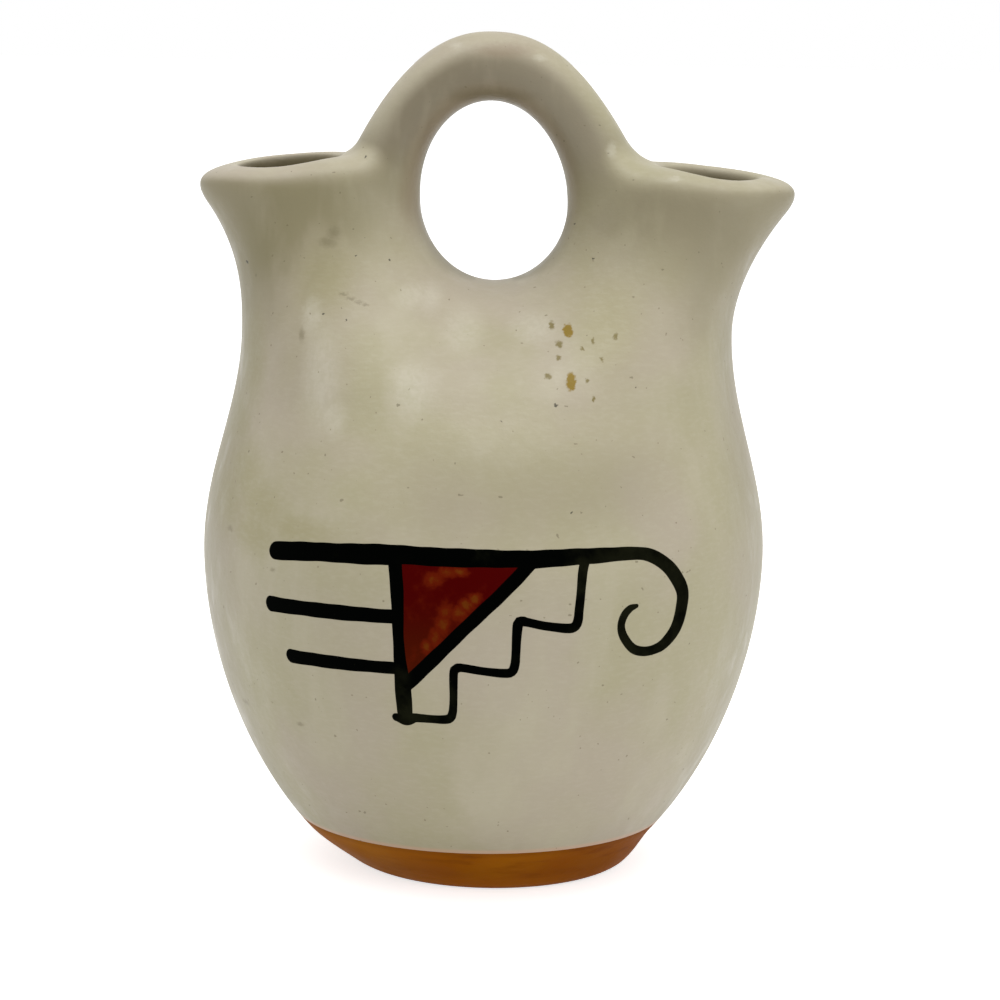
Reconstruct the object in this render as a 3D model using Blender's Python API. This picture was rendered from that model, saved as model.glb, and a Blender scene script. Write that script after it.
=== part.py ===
"""Wedding vase: a coil-built clay vessel with two spouts joined by a bridge handle.

Metres, +Z up, origin at the middle of the foot's resting face. +X runs from spout to spout
and -Y is the painted front. Every level cut through the wall is a Cassini oval: round at
the belly, waisted like a peanut under the handle hole, and two separate eggs above it.
"""

import collections
import math

import bmesh
import bpy
import numpy as np

MM = 0.001

# Foot: a thick pressed clay dish, hollowed a little underneath and set off centre by hand
FOOT_R = 33.0 * MM
FOOT_SHIFT = 2.5 * MM
FOOT_H = 12.0 * MM
FLOOR_T = 9.0 * MM
HOLLOW_R = 26.0 * MM
HOLLOW_H = 1.2 * MM
HOLLOW_EDGE = 3.0 * MM

# Wall: widest radius, waist of the spouts and the rims they flare out to, one a little wider
BELLY_R = 68.5 * MM
BELLY_Z = 78.0 * MM
BOWL_POWER = 1.85
WAIST_R = 59.5 * MM
WAIST_Z = 132.0 * MM
LEFT_RIM_R = 71.0 * MM
RIGHT_RIM_R = 73.4 * MM
RIM_Z = 166.6 * MM
RIM_HALF_DEPTH = 17.5 * MM
RIM_FALL = 0.14
LEFT_FLARE = 2.1
RIGHT_FLARE = 1.85
WALL = 6.5 * MM
SHOULDER_TOP = 128.0 * MM

# Handle hole, an upright egg through the wall between the spouts, widest just below the rims
HOLE_HALF_W = 17.85 * MM
HOLE_UP = 23.8 * MM
HOLE_DOWN = 19.6 * MM
HOLE_DROP = 3.5 * MM
SADDLE_WALL = 8.0 * MM

# Mouths and the rim coils round them
LIP_W = 8.0 * MM
LIP_BACK = 3.0 * MM
LIP_H = 4.4 * MM
LIP_BULGE = 0.8 * MM
LIP_SQUARE = 0.55
LANDING = 18.0 * MM

# Bridge handle: its thickness over the hole, its half depth front to back and its sloping legs
HANDLE_THICK = 16.1 * MM
HANDLE_HALF_DEPTH = 9.0 * MM
LEG_ANGLE = math.radians(54.5)
LEG_RUN = 23.0 * MM
CROWN_RUN = 16.0 * MM
FOOT_SPREAD = 0.8
SPREAD_SHARE = 0.5

# Slip in a sloping luted seam
LUTE = 0.3 * MM

# Facets: around half the wall, over a rim coil, around the handle and along half of it
HALF_TURN = 32
LIP_STEPS = 7
HANDLE_SIDE = 12
HANDLE_STEPS = 11

HOLE_Z = RIM_Z - HOLE_DROP
HANDLE_TOP = HOLE_Z + HOLE_UP + HANDLE_THICK
SADDLE_Z = HOLE_Z - HOLE_DOWN
INNER_SADDLE_Z = SADDLE_Z - SADDLE_WALL
BODY_HALF_H = BELLY_Z / (1 - (FOOT_R / BELLY_R) ** 2) ** (1 / BOWL_POWER)
MOUTH_IN = HOLE_HALF_W + LANDING + LIP_BACK
LEG_FACE = HOLE_HALF_W + LANDING

# One spout: its label, its direction along X, its rim's reach, the power of its flare and the
# middle of its mouth
Side = collections.namedtuple("Side", "label way rim flare mid")
LEFT = Side("left", -1, LEFT_RIM_R, LEFT_FLARE, (MOUTH_IN + LEFT_RIM_R - LIP_W) / 2)
RIGHT = Side("right", 1, RIGHT_RIM_R, RIGHT_FLARE, (MOUTH_IN + RIGHT_RIM_R - LIP_W) / 2)


def ease(low, high, value):
    """Smooth step from 0 at low to 1 at high."""
    share = min(max((value - low) / (high - low), 0.0), 1.0)
    return share * share * (3 - 2 * share)


def bowl_radius(z):
    """Outer radius of the foot and bowl, the lower part of an upright oval."""
    return BELLY_R * math.sqrt(1 - ((BELLY_Z - z) / BODY_HALF_H) ** BOWL_POWER)


def bowl_bore(z):
    """Inner radius of the foot and bowl: a smaller oval above the floor."""
    inner_half_h = BODY_HALF_H - FLOOR_T
    return (BELLY_R - WALL) * math.sqrt(1 - ((BELLY_Z - z) / inner_half_h) ** BOWL_POWER)


def wall_reach(z, side):
    """Outer reach along X above the belly: in to the waist by half a cosine, then a flare."""
    if z < WAIST_Z:
        turn = math.pi * (z - BELLY_Z) / (WAIST_Z - BELLY_Z)
        return WAIST_R + (BELLY_R - WAIST_R) * (1 + math.cos(turn)) / 2
    return WAIST_R + (side.rim - WAIST_R) * ((z - WAIST_Z) / (RIM_Z - WAIST_Z)) ** side.flare


def wall_depth(z):
    """Greatest outer half depth along Y, easing from the belly's radius to the rim's depth."""
    turn = math.pi * (z - BELLY_Z) / (RIM_Z - BELLY_Z)
    return RIM_HALF_DEPTH + (BELLY_R - RIM_HALF_DEPTH) * (1 + math.cos(turn)) / 2


def hole_square(z, half_w, half_h, reach):
    """Square of the hole's half width at z; below the hole it turns negative."""
    return max(half_w**2 * (1 - ((z - HOLE_Z) / half_h) ** 2), -(reach**2))


def outer_section(z, side):
    """Reach, hole square and half depth of the outside of the wall at z."""
    reach = wall_reach(z, side)
    half_h = HOLE_DOWN if z < HOLE_Z else HOLE_UP
    return reach, hole_square(z, HOLE_HALF_W, half_h, reach), wall_depth(z)


def inner_section(z, side):
    """The same for the cavity; its inner side moves out to the mouth towards the rim."""
    rise = ease(SADDLE_Z, RIM_Z, z)
    reach = wall_reach(z, side) - WALL + (WALL - LIP_W) * rise
    half_w = HOLE_HALF_W + SADDLE_WALL + (LANDING + LIP_BACK - SADDLE_WALL) * rise
    square = hole_square(z, half_w, HOLE_DOWN + SADDLE_WALL, reach)
    return reach, square, wall_depth(z) - WALL + (WALL - LIP_W) * rise


def oval_terms(section):
    """Cassini terms c*c and b*b of a section, and the stretch along Y that gives its depth."""
    reach, square, depth = section
    centre = (reach**2 + square) / 2
    size = (reach**2 - square) / 2
    if size < 2 * centre:
        widest = size / (2 * math.sqrt(centre))
    else:
        widest = math.sqrt(size - centre)
    return centre, size, depth / widest


def rim_drop(z, x, side):
    """How far a point sinks below its level z as the spout tips outwards towards its rim."""
    return RIM_FALL * ease(SADDLE_Z, RIM_Z, z) * (x - side.mid)


def half_loop(shape, z, side):
    """Points of one half of a level section, with X out, from its -Y end round to +Y."""
    section = shape(z, side)
    reach, square, _ = section
    centre, size, stretch = oval_terms(section)
    inner_end = math.sqrt(abs(square))
    bunch = (reach - inner_end) / (reach + inner_end)
    points = []
    for step in range(-HALF_TURN, HALF_TURN + 1, 2):
        share = step / HALF_TURN
        turn = math.pi * (share + bunch * (share - share * abs(share)))
        root = np.sqrt(complex(centre + size * math.cos(turn), size * math.sin(turn)))
        if abs(step) == HALF_TURN:
            end = math.sqrt(max(-square, 0.0)) * (1 if step > 0 else -1)
            root = complex(math.sqrt(max(square, 0.0)), end)
        points.append((root.real, stretch * root.imag, z - rim_drop(z, root.real, side)))
    return points


def full_loop(shape, z):
    """Points of a whole level section, the right half and then the left."""
    left = half_loop(shape, z, LEFT)[1:-1]
    return half_loop(shape, z, RIGHT) + [(-x, y, height) for x, y, height in reversed(left)]


def rim_half_depth(x, side):
    """Outer half depth of a spout at its rim, at distance x from the middle."""
    centre, size, stretch = oval_terms(outer_section(RIM_Z, side))
    square = math.sqrt(4 * x * x * centre + size * size) - x * x - centre
    return stretch * math.sqrt(max(square, 0.0))


def seat_z(x, side):
    """Height of the sloping rim seat at distance x from the middle."""
    return RIM_Z - RIM_FALL * (x - side.mid)


def clay(name, colour, roughness):
    """Principled material of one piece."""
    material = bpy.data.materials.new(name)
    material.use_nodes = True
    shader = material.node_tree.nodes["Principled BSDF"]
    shader.inputs["Base Color"].default_value = (*colour, 1.0)
    shader.inputs["Roughness"].default_value = roughness
    shader.inputs["Metallic"].default_value = 0.0
    return material


def finish(bm, name, parent, colour, roughness=0.55):
    """Weld, face outwards, shade and place one piece."""
    bmesh.ops.remove_doubles(bm, verts=bm.verts, dist=1e-6)
    bmesh.ops.recalc_face_normals(bm, faces=bm.faces)
    mesh = bpy.data.meshes.new(name)
    bm.to_mesh(mesh)
    bm.free()
    mesh.shade_smooth()
    mesh.set_sharp_from_angle(angle=math.radians(40))
    mesh.materials.append(clay(name, colour, roughness))
    piece = bpy.data.objects.new(name, mesh)
    piece.parent = parent
    bpy.context.collection.objects.link(piece)
    return piece


def loft(bm, rings, closed=False):
    """Skin a row of equal rings point to point; closed also joins the last to the first."""
    rows = [[bm.verts.new(point) for point in ring] for ring in rings]
    pairs = list(zip(rows, rows[1:]))
    if closed:
        pairs.append((rows[-1], rows[0]))
    for lower, upper in pairs:
        for step in range(len(lower)):
            bm.faces.new((lower[step - 1], lower[step], upper[step], upper[step - 1]))
    return rows


def foot_dish(parent, colour):
    """Turned foot: hollow underneath, outer curve of the bowl, shallow dish on top."""
    outer = [(bowl_radius(z), z) for z in np.linspace(0, FOOT_H, 5)]
    inner = [(bowl_bore(z), z) for z in np.linspace(FOOT_H, FLOOR_T, 3)]
    under = [(0.0, HOLLOW_H), (HOLLOW_R, HOLLOW_H), (HOLLOW_R + HOLLOW_EDGE, 0.0)]
    profile = under + outer + inner + [(0.0, FLOOR_T)]
    bm = bmesh.new()
    verts = [bm.verts.new((r, 0.0, z)) for r, z in profile]
    edges = [bm.edges.new(pair) for pair in zip(verts, verts[1:])]
    bmesh.ops.spin(
        bm,
        geom=verts + edges,
        cent=(0, 0, 0),
        axis=(0, 0, 1),
        angle=2 * math.pi,
        steps=2 * HALF_TURN,
    )
    for vert in bm.verts:
        vert.co.x += FOOT_SHIFT * (1 - ease(0, FOOT_H, vert.co.z))
    return finish(bm, "foot", parent, colour, 0.6)


def belly_bowl(parent, colour):
    """Bowl wall from the foot's rim up to the widest level."""
    levels = np.linspace(FOOT_H, BELLY_Z, 9)
    turns = [math.pi * step / HALF_TURN for step in range(2 * HALF_TURN)]

    def ring(radius, z):
        return [(radius * math.cos(turn), radius * math.sin(turn), z) for turn in turns]

    outer = [ring(bowl_radius(z), z) for z in levels]
    inner = [ring(bowl_bore(z), z) for z in levels[::-1]]
    bm = bmesh.new()
    loft(bm, outer + inner, closed=True)
    return finish(bm, "belly", parent, colour)


def shoulder_wall(parent, colour):
    """Coiled wall above the belly, closing in and drawing a waist between the spouts."""
    levels = np.linspace(BELLY_Z, SHOULDER_TOP, 8)
    outer = [full_loop(outer_section, z) for z in levels]
    inner = [full_loop(inner_section, z) for z in levels[::-1]]
    bm = bmesh.new()
    loft(bm, outer + inner, closed=True)
    return finish(bm, "shoulder", parent, colour)


def saddle_levels(saddle, below, above):
    """Levels from the shoulder to the rim, closer together where the loop parts at saddle."""
    half_h = HOLE_Z - saddle
    last = math.acos((HOLE_Z - RIM_Z) / half_h)
    lower = [saddle - (saddle - SHOULDER_TOP) * (1 - step / below) ** 2 for step in range(below)]
    upper = [HOLE_Z - half_h * math.cos(last * step / above) for step in range(1, above)]
    return [*lower, saddle, *upper, RIM_Z]


def spout(side, parent, colour):
    """One spout, cut flat where it meets its twin under the hole and at its sloping rim."""
    outer_levels = saddle_levels(SADDLE_Z, 4, 8)
    inner_levels = saddle_levels(INNER_SADDLE_Z, 3, 7)
    bm = bmesh.new()

    def grid(levels, section):
        rows = [half_loop(section, z, side) for z in levels]
        return [[bm.verts.new((side.way * x, y, z)) for x, y, z in row] for row in rows]

    def strip(lower, upper):
        for first, second, third, fourth in zip(lower, lower[1:], upper[1:], upper):
            bm.faces.new((first, second, third, fourth))

    outer = grid(outer_levels, outer_section)
    inner = grid(inner_levels, inner_section)
    for rows in (outer, inner):
        for lower, upper in zip(rows, rows[1:]):
            strip(lower, upper)
    strip(outer[0], inner[0])
    strip(outer[-1], inner[-1])

    # Flat face towards the other spout: an arch of wall over the shared cavity
    outer_arch = outer[: outer_levels.index(SADDLE_Z) + 1]
    inner_arch = inner[: inner_levels.index(INNER_SADDLE_Z) + 1]
    arch = [row[0] for row in outer_arch] + [row[-1] for row in reversed(outer_arch[:-1])]
    arch += [row[-1] for row in inner_arch] + [row[0] for row in reversed(inner_arch[:-1])]
    bm.faces.new(arch)
    return finish(bm, side.label + "_spout", parent, colour)


def lip(side, parent, colour):
    """Rim coil round one mouth: follows the spout's edge and the flat of the handle's leg."""
    bore = [point[:2] for point in half_loop(inner_section, RIM_Z, side)[:-1]]
    edge = [point[:2] for point in half_loop(outer_section, RIM_Z, side)[:-1]]
    back = LEG_FACE + LUTE
    edge_angles = [math.atan2(y, x - side.mid) for x, y in edge]
    edge_reach = [math.hypot(x - side.mid, y) for x, y in edge]
    arch = [math.pi * step / LIP_STEPS for step in range(LIP_STEPS + 1)]
    rings = [[] for _ in arch]
    for x, y in bore:
        turn = math.atan2(y, x - side.mid)
        reach = float(np.interp(turn, edge_angles, edge_reach, period=2 * math.pi))
        if math.cos(turn) < 0:
            reach = min(reach, (side.mid - back) / -math.cos(turn))
        own = math.hypot(x - side.mid, y)
        clear = ease(back, back + LIP_W, side.mid + reach * math.cos(turn))
        for ring, angle in zip(rings, arch):
            across = math.copysign(abs(math.cos(angle)) ** LIP_SQUARE, math.cos(angle))
            rise = LIP_H * math.sin(angle) ** LIP_SQUARE
            radius = (reach + own) / 2 + (reach - own) / 2 * across
            radius += LIP_BULGE * clear * math.sin(angle) * max(across, 0.0)
            px = side.mid + radius * math.cos(turn)
            py = radius * math.sin(turn)
            ring.append((side.way * px, py, seat_z(px, side) + LUTE + rise))
    bm = bmesh.new()
    loft(bm, rings, closed=True)
    return finish(bm, side.label + "_lip", parent, colour)


def handle_section(inner_point, outer_point, rim_share, side):
    """Ring between an inner and an outer edge point: an oval, or the spout's own plan."""
    ring = []
    for sign in (1, -1):
        for step in range(HANDLE_SIDE)[::sign]:
            turn = math.pi * (step + 0.5) / HANDLE_SIDE
            share = (1 - math.cos(turn)) / 2
            x = inner_point[0] + (outer_point[0] - inner_point[0]) * share
            z = inner_point[1] + (outer_point[1] - inner_point[1]) * share
            oval = HANDLE_HALF_DEPTH * math.sin(turn)
            y = oval + rim_share * (rim_half_depth(x, side) - oval)
            ring.append((side.way * x, sign * y, z))
    return ring


def handle_leg(side):
    """Rings of half the handle, from its foot on the rim seat up to the crown."""
    foot_height = seat_z(HOLE_HALF_W, side) + LUTE
    foot_x = HOLE_HALF_W * math.sqrt(1 - ((foot_height - HOLE_Z) / HOLE_UP) ** 2)
    foot_inner = (foot_x, seat_z(foot_x, side) + LUTE)
    foot_outer = (LEG_FACE, seat_z(LEG_FACE, side) + LUTE)
    rings = [handle_section(foot_inner, foot_outer, 1.0, side)]

    start = (LEG_FACE, foot_outer[1] + LIP_H)
    run = (LEG_RUN * math.cos(LEG_ANGLE), LEG_RUN * math.sin(LEG_ANGLE))
    ends = (start, (start[0] - run[0], start[1] + run[1]), (CROWN_RUN, HANDLE_TOP), (0.0, HANDLE_TOP))
    first_turn = math.asin((foot_inner[1] + LIP_H - HOLE_Z) / HOLE_UP)
    for step in range(HANDLE_STEPS + 1):
        share = step / HANDLE_STEPS
        rest = 1 - share
        weights = (rest**3, 3 * rest**2 * share, 3 * rest * share**2, share**3)
        outer = [sum(w * end[axis] for w, end in zip(weights, ends)) for axis in (0, 1)]
        turn = first_turn + (math.pi / 2 - first_turn) * share
        inner = (HOLE_HALF_W * math.cos(turn), HOLE_Z + HOLE_UP * math.sin(turn))
        spread = FOOT_SPREAD * (1 - ease(0, SPREAD_SHARE, share))
        rings.append(handle_section(inner, outer, spread, side))
    return rings


def bridge_handle(parent, colour):
    """Arched handle between the spouts: oval coil whose feet spread to the spouts' plan."""
    bm = bmesh.new()
    rows = loft(bm, handle_leg(RIGHT) + handle_leg(LEFT)[-2::-1])
    bm.faces.new(rows[0])
    bm.faces.new(rows[-1])
    return finish(bm, "bridge_handle", parent, colour)


for old in list(bpy.data.objects):
    bpy.data.objects.remove(old, do_unlink=True)

vase = bpy.data.objects.new("wedding_vase", None)
bpy.context.collection.objects.link(vase)

SLIP = (0.42, 0.38, 0.25)
BARE_FOOT = (0.42, 0.14, 0.035)

foot_dish(vase, BARE_FOOT)
belly_bowl(vase, SLIP)
shoulder_wall(vase, SLIP)
for hand in (LEFT, RIGHT):
    spout(hand, vase, SLIP)
    lip(hand, vase, SLIP)
bridge_handle(vase, SLIP)
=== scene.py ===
import math

import bmesh
import bpy
import numpy as np
from mathutils import Matrix, Vector


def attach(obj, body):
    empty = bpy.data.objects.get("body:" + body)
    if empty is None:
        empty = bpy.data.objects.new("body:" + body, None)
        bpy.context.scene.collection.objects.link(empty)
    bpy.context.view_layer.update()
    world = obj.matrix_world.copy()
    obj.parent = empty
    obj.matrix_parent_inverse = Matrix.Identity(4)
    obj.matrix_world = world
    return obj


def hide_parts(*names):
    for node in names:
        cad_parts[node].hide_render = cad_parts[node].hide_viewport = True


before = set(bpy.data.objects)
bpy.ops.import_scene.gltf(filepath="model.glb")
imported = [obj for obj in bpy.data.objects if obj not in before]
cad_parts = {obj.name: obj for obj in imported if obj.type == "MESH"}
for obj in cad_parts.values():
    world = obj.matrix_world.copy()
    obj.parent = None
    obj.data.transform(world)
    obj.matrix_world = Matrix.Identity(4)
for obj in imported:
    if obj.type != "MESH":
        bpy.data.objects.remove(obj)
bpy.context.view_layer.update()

# The foot is a thick dish of clay pressed by hand, hollowed underneath and set a little off
# centre. Its outside is brushed with an orange-brown iron wash that ends in a level edge.
FOOT_R = 0.0330
FOOT_SHIFT = 0.0025
SHIFT_FADE = 0.010
FOOT_ROUND = 0.0018
HOLLOW_R = 0.0260
HOLLOW_H = 0.0012
HOLLOW_EDGE_IN = 0.002
HOLLOW_EDGE_OUT = 0.003
FLOOR_T = 0.0090
BAND_TOP = 0.0124
BELLY_R = 0.0685
BELLY_Z = 0.0780
BOWL_POWER = 1.85
WALL = 0.0065
ROUND_STEPS = 288
UNDER_ROWS = 16
SIDE_ROWS = 28
SIDE_BUNCH = 1.6
SIDE_BEYOND = 0.0005
TOP_ROWS = 5
WASH_THICK = (0.288, 0.081, 0.0010, 1)
WASH_THIN = (0.338, 0.110, 0.0024, 1)
WASH_STREAK = (0.222, 0.061, 0.0012, 1)
WASH_LIT_BOTTOM = (0.450, 0.145, 0.0040, 1)
WASH_RIGHT = (0.180, 0.040, 0.0006, 1)
WASH_LEFT = (0.420, 0.165, 0.0200, 1)
WASH_EDGE = (0.130, 0.040, 0.004, 1)
WASH_EDGE_LOW = 0.0016
WASH_EDGE_HIGH = 0.0003
WASH_GLOSS = 0.02
WASH_RELIEF = 0.0001


def ease(low, high, value):
    """Smooth step: 0 up to low, 1 from high, and a cubic with level ends between them."""
    share = np.clip((value - low) / (high - low), 0.0, 1.0)
    return share * share * (3 - 2 * share)


def bowl_oval(z, widest, floor):
    """Radius of an upright oval, widest at the belly, whose foot end starts at a floor height."""
    half_height = BELLY_Z / (1 - (FOOT_R / BELLY_R) ** 2) ** (1 / BOWL_POWER) - floor
    share = np.maximum(BELLY_Z - z, 0.0) / half_height
    return widest * np.sqrt(np.maximum(1 - share**BOWL_POWER, 0.0))


def bowl_radius(z):
    """Radius of the bowl's outside."""
    return bowl_oval(z, BELLY_R, 0.0)


def bowl_bore(z):
    """Radius of the bowl's cavity, smaller by the wall and, below, by the floor."""
    return bowl_oval(z, BELLY_R - WALL, FLOOR_T)


def foot_side(z):
    """Radius of the foot's outside: the bowl's, with a quarter circle taken off the bottom edge."""
    low = np.maximum(FOOT_ROUND - z, 0.0)
    return bowl_radius(z) - FOOT_ROUND + np.sqrt(FOOT_ROUND**2 - low**2)


def foot_offset(z):
    """How far the foot's rings lie to the right, fading out towards the top of the band."""
    return FOOT_SHIFT * (1 - ease(0.0, SHIFT_FADE, z))


def turned(radius, z):
    """Surface of revolution: every profile point (radius, z) carried round, from the front."""
    turns = np.linspace(-0.5, 1.5, ROUND_STEPS, endpoint=False) * np.pi
    radius, z = radius[:, None], z[:, None] + 0 * turns
    return np.stack([radius * np.cos(turns) + foot_offset(z), radius * np.sin(turns), z], axis=-1)


def grid_normals(grid):
    """Outward normals of a grid closed round its columns: across each row times up the rows."""
    around = np.roll(grid, -1, axis=1) - np.roll(grid, 1, axis=1)
    normals = np.cross(around, np.gradient(grid, axis=0))
    return normals / np.maximum(np.linalg.norm(normals, axis=-1, keepdims=True), 1e-12)


def ring_faces(rows, columns, closed=False):
    """Quads between neighbouring rings; closed also joins the last ring to the first."""
    row = np.arange(rows if closed else rows - 1)[:, None]
    column = np.arange(columns)[None, :]
    after = (column + 1) % columns
    above = (row + 1) % rows
    quads = [
        row * columns + column,
        row * columns + after,
        above * columns + after,
        above * columns + column,
    ]
    return np.stack(quads, axis=-1).reshape(-1, 4)


def new_piece(name, material, points, faces, normals, marks=None):
    """Object from whole arrays, equal points welded, with its own normals and marked points."""
    points = np.asarray(points).reshape(-1, 3)
    normals = np.asarray(normals).reshape(-1, 3)
    _, first, index = np.unique(np.round(points, 7), axis=0, return_index=True, return_inverse=True)
    index = index.reshape(-1).tolist()
    welded = [list(dict.fromkeys(index[corner] for corner in face)) for face in faces]
    mesh = bpy.data.meshes.new(name)
    mesh.from_pydata(points[first], [], [face for face in welded if len(face) > 2])
    mesh.shade_smooth()
    for mark, values in (marks or {}).items():
        layer = mesh.attributes.new(mark, "FLOAT", "POINT")
        layer.data.foreach_set("value", np.asarray(values, dtype=np.float32)[first])
    mesh.normals_split_custom_set_from_vertices(normals[first])
    mesh.materials.append(material)
    piece = bpy.data.objects.new(name, mesh)
    bpy.context.collection.objects.link(piece)
    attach(piece, "root")
    return piece


class Socket:
    """A shader socket: arithmetic on it adds Math nodes, and add() puts in any other node."""

    def __init__(self, tree, out=None):
        self.tree = tree
        self.out = out

    def add(self, kind, settings, inputs, output=0):
        """New node of a type, its settings set first, then the values or links of its sockets."""
        node = self.tree.nodes.new(kind)
        for name, value in settings.items():
            setattr(node, name, value)
        for name, value in inputs.items():
            if isinstance(value, Socket):
                self.tree.links.new(value.out, node.inputs[name])
            else:
                node.inputs[name].default_value = value
        return Socket(self.tree, node.outputs[output])

    def math(self, operation, first, second=0.0):
        return self.add("ShaderNodeMath", {"operation": operation}, {0: first, 1: second})

    def __add__(self, other):
        return self.math("ADD", self, other)

    __radd__ = __add__

    def __sub__(self, other):
        return self.math("SUBTRACT", self, other)

    def __rsub__(self, other):
        return self.math("SUBTRACT", other, self)

    def __mul__(self, other):
        return self.math("MULTIPLY", self, other)

    __rmul__ = __mul__

    def axis(self, name):
        """One coordinate of a place."""
        return self.add("ShaderNodeSeparateXYZ", {}, {"Vector": self}, name)

    def stretched(self, scale):
        """The same place with its coordinates scaled, to draw a pattern out along an axis."""
        return self.add("ShaderNodeVectorMath", {"operation": "MULTIPLY"}, {0: self, 1: scale})

    def noise(self, scale, detail=3.0, rough=0.5):
        """Smooth noise around 0.5 at this place, with so many cells to the metre."""
        inputs = {"Vector": self, "Scale": scale, "Detail": detail, "Roughness": rough}
        return self.add("ShaderNodeTexNoise", {}, inputs, "Fac")

    def span(self, low, high):
        """0 below low, 1 above high, and a smooth step between them."""
        inputs = {"Value": self, "From Min": low, "From Max": high}
        return self.add("ShaderNodeMapRange", {"interpolation_type": "SMOOTHSTEP"}, inputs, "Result")

    def blend(self, first, second):
        """Colour between two colours, by this socket as the share of the second."""
        return self.add("ShaderNodeMix", {"data_type": "RGBA"}, {0: self, 6: first, 7: second}, 2)


def shade(name, colour, roughness, gloss, bump=None, depth=0.0):
    """Material on a Principled shader; colour, roughness and bump are made by given functions."""
    material = bpy.data.materials.new(name)
    material.use_nodes = True
    tree = material.node_tree
    shader = tree.nodes["Principled BSDF"]
    shader.inputs["Specular IOR Level"].default_value = gloss
    start = Socket(tree)
    place = start.add("ShaderNodeTexCoord", {}, {}, "Object")
    tree.links.new(colour(place).out, shader.inputs["Base Color"])
    tree.links.new(roughness(place).out, shader.inputs["Roughness"])
    if bump:
        inputs = {"Height": bump(place), "Strength": 1.0, "Distance": depth}
        tree.links.new(start.add("ShaderNodeBump", {}, inputs).out, shader.inputs["Normal"])
    return material


def wash_colour(place):
    """Orange-brown iron wash: streaks drawn out round the foot, paler to the left, painted light towards
    the bottom, a dark top edge.
    """
    x = place.axis("X")
    z = place.axis("Z")
    streaks = place.stretched((1.0, 1.0, 6.0)).noise(70, 4, 0.55)
    orange = place.noise(45, 3).span(0.35, 0.7).blend(WASH_THICK, WASH_THIN)
    orange = streaks.span(0.48, 0.74).blend(orange, WASH_STREAK)
    # Painted light: the wash is paler towards the bottom edge, which faces down.
    orange = z.span(0.006, 0.001).blend(orange, WASH_LIT_BOTTOM)
    orange = (x.span(0.002, 0.034) * 0.55).blend(orange, WASH_RIGHT)
    orange = (x.span(-0.004, -0.030) * 0.45).blend(orange, WASH_LEFT)
    edge = z.span(BAND_TOP - WASH_EDGE_LOW, BAND_TOP - WASH_EDGE_HIGH)
    return (edge * 0.3).blend(orange, WASH_EDGE)


def wash_roughness(place):
    return place.noise(120, 3) * 0.25 + 0.42


def wash_bump(place):
    return place.noise(700, 4)


foot_wash = shade("foot_wash", wash_colour, wash_roughness, WASH_GLOSS, wash_bump, WASH_RELIEF)
hollow_end = HOLLOW_R + HOLLOW_EDGE_OUT
under_r = np.concatenate([np.linspace(0, hollow_end, UNDER_ROWS), [FOOT_R - FOOT_ROUND]])
under_z = HOLLOW_H * (1 - ease(HOLLOW_R - HOLLOW_EDGE_IN, hollow_end, under_r))
levels = BAND_TOP * np.linspace(0, 1, SIDE_ROWS) ** SIDE_BUNCH
beyond = np.concatenate([levels, [BAND_TOP + SIDE_BEYOND]])
top_z = np.concatenate([np.linspace(BAND_TOP, FLOOR_T, TOP_ROWS), [FLOOR_T]])
top_r = np.concatenate([bowl_bore(top_z[:-1]), [0.0]])
parts = [
    turned(under_r, under_z),
    turned(foot_side(levels), levels),
    turned(top_r, top_z),
]
side_normals = grid_normals(turned(foot_side(beyond), beyond))[:-1]
grid = np.concatenate(parts)
foot = new_piece(
    "foot_clay",
    foot_wash,
    grid,
    ring_faces(len(grid), ROUND_STEPS),
    np.concatenate([grid_normals(parts[0]), side_normals, grid_normals(parts[2])]),
)
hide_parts("foot")

# The belly is the lower half of one coiled wall, scraped smooth, coated in cream slip and rubbed
# to a satin. Every level cut through the wall is a Cassini oval: round here, waisted higher up.
WAIST_R = 0.0595
WAIST_Z = 0.1320
LEFT_RIM_R = 0.0720
RIGHT_RIM_R = 0.0765
RIM_Z = 0.1666
RIM_HALF_DEPTH = 0.0185
HOLE_HALF_W = 0.01785
HOLE_UP = 0.0238
HOLE_DOWN = 0.0196
HOLE_Z = 0.1631
SADDLE_WALL = 0.0080
SHOULDER_TOP = 0.1280
LIP_W = 0.0085
LANDING = 0.0195
RIGHT_LANDING = 0.0240
NOSE = 0.0040
SQUARE_ROUND = 0.001
SIDE_BLEND = 0.012
SIDE_X = 0.05
LEFT_FLARE = 2.45
RIGHT_FLARE = 1.85
LEAN = 0.0015
LEAN_START = 0.095
LEAN_FULL = 0.148
LEAN_END = 0.190
LEAN_LOSS = 0.8
LEAN_INNER = 0.020
LEAN_OUTER = 0.055
BELLY_ROWS = 72
MM = 0.001
WANDER = 0.0014
FRONT_Y = -0.004
CHIPS = [(19.0, 135.2, 1.1, 1.3), (19.7, 124.7, 1.1, 1.9)]
FLAKES = [
    (15.2, 136.0, 0.8, 1.0), (16.9, 132.2, 0.9, 0.9), (14.3, 125.7, 0.9, 0.7),
    (24.8, 133.3, 0.4, 0.8), (22.3, 131.7, 0.4, 0.6), (26.9, 129.5, 0.5, 0.5),
    (30.1, 134.4, 0.6, 0.8), (23.5, 124.9, 0.6, 0.4), (24.9, 121.0, 0.4, 0.6),
    (16.8, 129.6, 0.7, 0.8),
]
PINHOLES = [
    (16.2, 119.6, 0.40, 0.40), (3.8, 116.2, 0.30, 0.30), (34.9, 123.5, 0.30, 0.30),
    (20.0, 97.1, 0.25, 0.25), (-57.4, 148.4, 0.40, 0.40), (20.6, 158.2, 0.30, 0.30),
    (25.0, 150.7, 0.35, 0.35), (-38.5, 138.2, 0.30, 0.30), (-33.1, 136.9, 0.30, 0.30),
    (-23.4, 149.9, 0.30, 0.30), (-31.2, 151.2, 0.35, 0.25), (-29.5, 173.6, 0.35, 0.35),
]
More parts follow.
